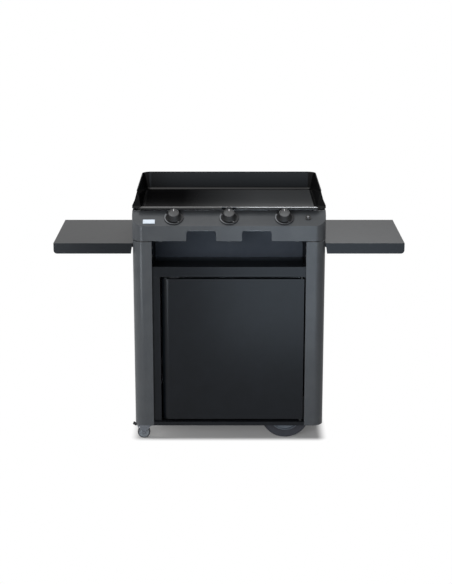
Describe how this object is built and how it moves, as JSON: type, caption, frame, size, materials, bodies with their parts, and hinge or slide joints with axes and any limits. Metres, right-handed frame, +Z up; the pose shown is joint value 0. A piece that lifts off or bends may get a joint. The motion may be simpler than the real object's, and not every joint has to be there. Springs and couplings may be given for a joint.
{
  "type": "outdoor gas griddle station",
  "caption": "Wheeled gas griddle station: splash-walled cooking pan on a control head with turning knobs, open niche, cabinet door, folding side shelves, casters and large wheels.",
  "frame": {"origin": "on the floor, under the middle of the overall width and depth", "axes": "+X to the right as the user faces the control panel, -Y towards the user, +Z up"},
  "size_m": [1.398, 0.51, 1.029],
  "materials": {
    "charcoal_shell": "satin powder coat with a fine grain",
    "dark_cabinet": "satin near-black powder coat",
    "galvanised_sheet": "dull zinc-coated sheet",
    "black_enamel": "glossy black enamel",
    "bright_steel": "plain bright steel",
    "brass_tap": "machined brass",
    "black_plastic": "moulded, slightly glossy",
    "dark_bezel": "moulded ring with light markings",
    "silver_plate": "satin silver, blank",
    "white_ceramic": "glazed white",
    "foot_rubber": "matt black",
    "dark_bolt": "black oxide",
    "tyre_rubber": "moulded dark tyre",
    "grey_hub": "moulded grey",
    "caster_plastic": "grey hub with a dark tread",
    "zinc_steel": "zinc-plated pressed steel"
  },
  "bodies": {
    "cart": {"side_panel_left": "charcoal_shell", "side_panel_right": "charcoal_shell", "inner_wall_left": "dark_cabinet", "inner_wall_right": "dark_cabinet", "base_pan": "dark_cabinet", "wheel_arches": "dark_cabinet", "niche_tray": "dark_cabinet", "niche_back_panel": "dark_cabinet", "rear_panel": "galvanised_sheet", "door_stile": "dark_cabinet", "door_magnet": "black_plastic", "head_feet": "foot_rubber", "head_base_rails": "galvanised_sheet", "control_head": "charcoal_shell", "heat_shield": "galvanised_sheet", "griddle_rails": "galvanised_sheet", "burners": "bright_steel", "burner_brackets": "galvanised_sheet", "gas_manifold": "bright_steel", "gas_valves": "brass_tap", "gas_inlet_pipe": "bright_steel", "igniter_module": "black_plastic", "electrodes": "white_ceramic", "knob_bezels": "dark_bezel", "igniter_bezel": "dark_bezel", "badge_plate": "silver_plate", "grease_chute": "galvanised_sheet", "shelf_brackets": "dark_cabinet", "wheel_axles": "bright_steel", "caster_plates": "zinc_steel", "body_bolts": "dark_bolt"},
    "door": {"door_panel": "dark_cabinet", "door_hinge_pins": "bright_steel"},
    "tap_left": {"valve_plug_left": "brass_tap"},
    "knob_left": {"knob_left": "black_plastic", "valve_stem_left": "bright_steel"},
    "tap_centre": {"valve_plug_centre": "brass_tap"},
    "knob_centre": {"knob_centre": "black_plastic", "valve_stem_centre": "bright_steel"},
    "tap_right": {"valve_plug_right": "brass_tap"},
    "knob_right": {"knob_right": "black_plastic", "valve_stem_right": "bright_steel"},
    "igniter": {"igniter_button": "black_plastic"},
    "griddle": {"griddle_pan": "black_enamel"},
    "grease_drawer": {"grease_tray": "galvanised_sheet"},
    "shelf_left": {"shelf_left": "charcoal_shell", "shelf_hinge_left": "dark_cabinet"},
    "shelf_right": {"shelf_right": "charcoal_shell", "shelf_hinge_right": "dark_cabinet"},
    "caster_front": {"caster_fork_front": "zinc_steel"},
    "caster_wheel_front": {"caster_wheel_front": "caster_plastic"},
    "brake_front": {"caster_brake_front": "zinc_steel"},
    "wheel_front": {"wheel_tyre_front": "tyre_rubber", "wheel_hub_front": "grey_hub"},
    "caster_rear": {"caster_fork_rear": "zinc_steel"},
    "caster_wheel_rear": {"caster_wheel_rear": "caster_plastic"},
    "brake_rear": {"caster_brake_rear": "zinc_steel"},
    "wheel_rear": {"wheel_tyre_rear": "tyre_rubber", "wheel_hub_rear": "grey_hub"}
  },
  "joints": [
    {"name": "door_hinge", "type": "hinge", "parent": "cart", "child": "door", "pos_m": [0.2921, -0.229, 0.38], "axis": [0, 0, 1], "range_deg": [0, 100]},
    {"name": "knob_turn_left", "type": "hinge", "parent": "cart", "child": "tap_left", "pos_m": [-0.219, -0.21814, 0.92881], "axis": [0, -0.5736, 0.8192], "range_deg": [0, 210]},
    {"name": "knob_push_left", "type": "slide", "parent": "tap_left", "child": "knob_left", "axis": [0, 0.5736, -0.8192], "range_m": [0, 0.0035], "stiffness_N_per_m": 1500, "springref_m": -0.004},
    {"name": "knob_turn_centre", "type": "hinge", "parent": "cart", "child": "tap_centre", "pos_m": [0, -0.21814, 0.92881], "axis": [0, -0.5736, 0.8192], "range_deg": [0, 210]},
    {"name": "knob_push_centre", "type": "slide", "parent": "tap_centre", "child": "knob_centre", "axis": [0, 0.5736, -0.8192], "range_m": [0, 0.0035], "stiffness_N_per_m": 1500, "springref_m": -0.004},
    {"name": "knob_turn_right", "type": "hinge", "parent": "cart", "child": "tap_right", "pos_m": [0.219, -0.21814, 0.92881], "axis": [0, -0.5736, 0.8192], "range_deg": [0, 210]},
    {"name": "knob_push_right", "type": "slide", "parent": "tap_right", "child": "knob_right", "axis": [0, 0.5736, -0.8192], "range_m": [0, 0.0035], "stiffness_N_per_m": 1500, "springref_m": -0.004},
    {"name": "igniter_push", "type": "slide", "parent": "cart", "child": "igniter", "axis": [0, 0.5736, -0.8192], "range_m": [0, 0.0035], "stiffness_N_per_m": 1500, "springref_m": -0.003},
    {"name": "griddle_lift", "type": "slide", "parent": "cart", "child": "griddle", "axis": [0, 0, 1], "range_m": [0, 0.15]},
    {"name": "grease_tray_slide", "type": "slide", "parent": "cart", "child": "grease_drawer", "axis": [0, -1, 0], "range_m": [0, 0.15]},
    {"name": "shelf_fold_left", "type": "hinge", "parent": "cart", "child": "shelf_left", "pos_m": [-0.4018, 0, 0.7945], "axis": [0, -1, 0], "range_deg": [0, 90]},
    {"name": "shelf_fold_right", "type": "hinge", "parent": "cart", "child": "shelf_right", "pos_m": [0.4018, 0, 0.7945], "axis": [0, 1, 0], "range_deg": [0, 90]},
    {"name": "caster_swivel_front", "type": "hinge", "parent": "cart", "child": "caster_front", "pos_m": [-0.341, -0.205, 0.057], "axis": [0, 0, 1], "continuous": true},
    {"name": "caster_roll_front", "type": "hinge", "parent": "caster_front", "child": "caster_wheel_front", "pos_m": [-0.351, -0.205, 0.0255], "axis": [0, 1, 0], "continuous": true},
    {"name": "brake_press_front", "type": "hinge", "parent": "caster_front", "child": "brake_front", "pos_m": [-0.3685, -0.205, 0.0485], "axis": [0, -1, 0], "range_deg": [0, 10]},
    {"name": "wheel_roll_front", "type": "hinge", "parent": "cart", "child": "wheel_front", "pos_m": [0.231, -0.187, 0.1], "axis": [0, 1, 0], "continuous": true},
    {"name": "caster_swivel_rear", "type": "hinge", "parent": "cart", "child": "caster_rear", "pos_m": [-0.341, 0.201, 0.057], "axis": [0, 0, 1], "continuous": true},
    {"name": "caster_roll_rear", "type": "hinge", "parent": "caster_rear", "child": "caster_wheel_rear", "pos_m": [-0.351, 0.201, 0.0255], "axis": [0, 1, 0], "continuous": true},
    {"name": "brake_press_rear", "type": "hinge", "parent": "caster_rear", "child": "brake_rear", "pos_m": [-0.3685, 0.201, 0.0485], "axis": [0, -1, 0], "range_deg": [0, 10]},
    {"name": "wheel_roll_rear", "type": "hinge", "parent": "cart", "child": "wheel_rear", "pos_m": [0.231, 0.183, 0.1], "axis": [0, 1, 0], "continuous": true}
  ]
}
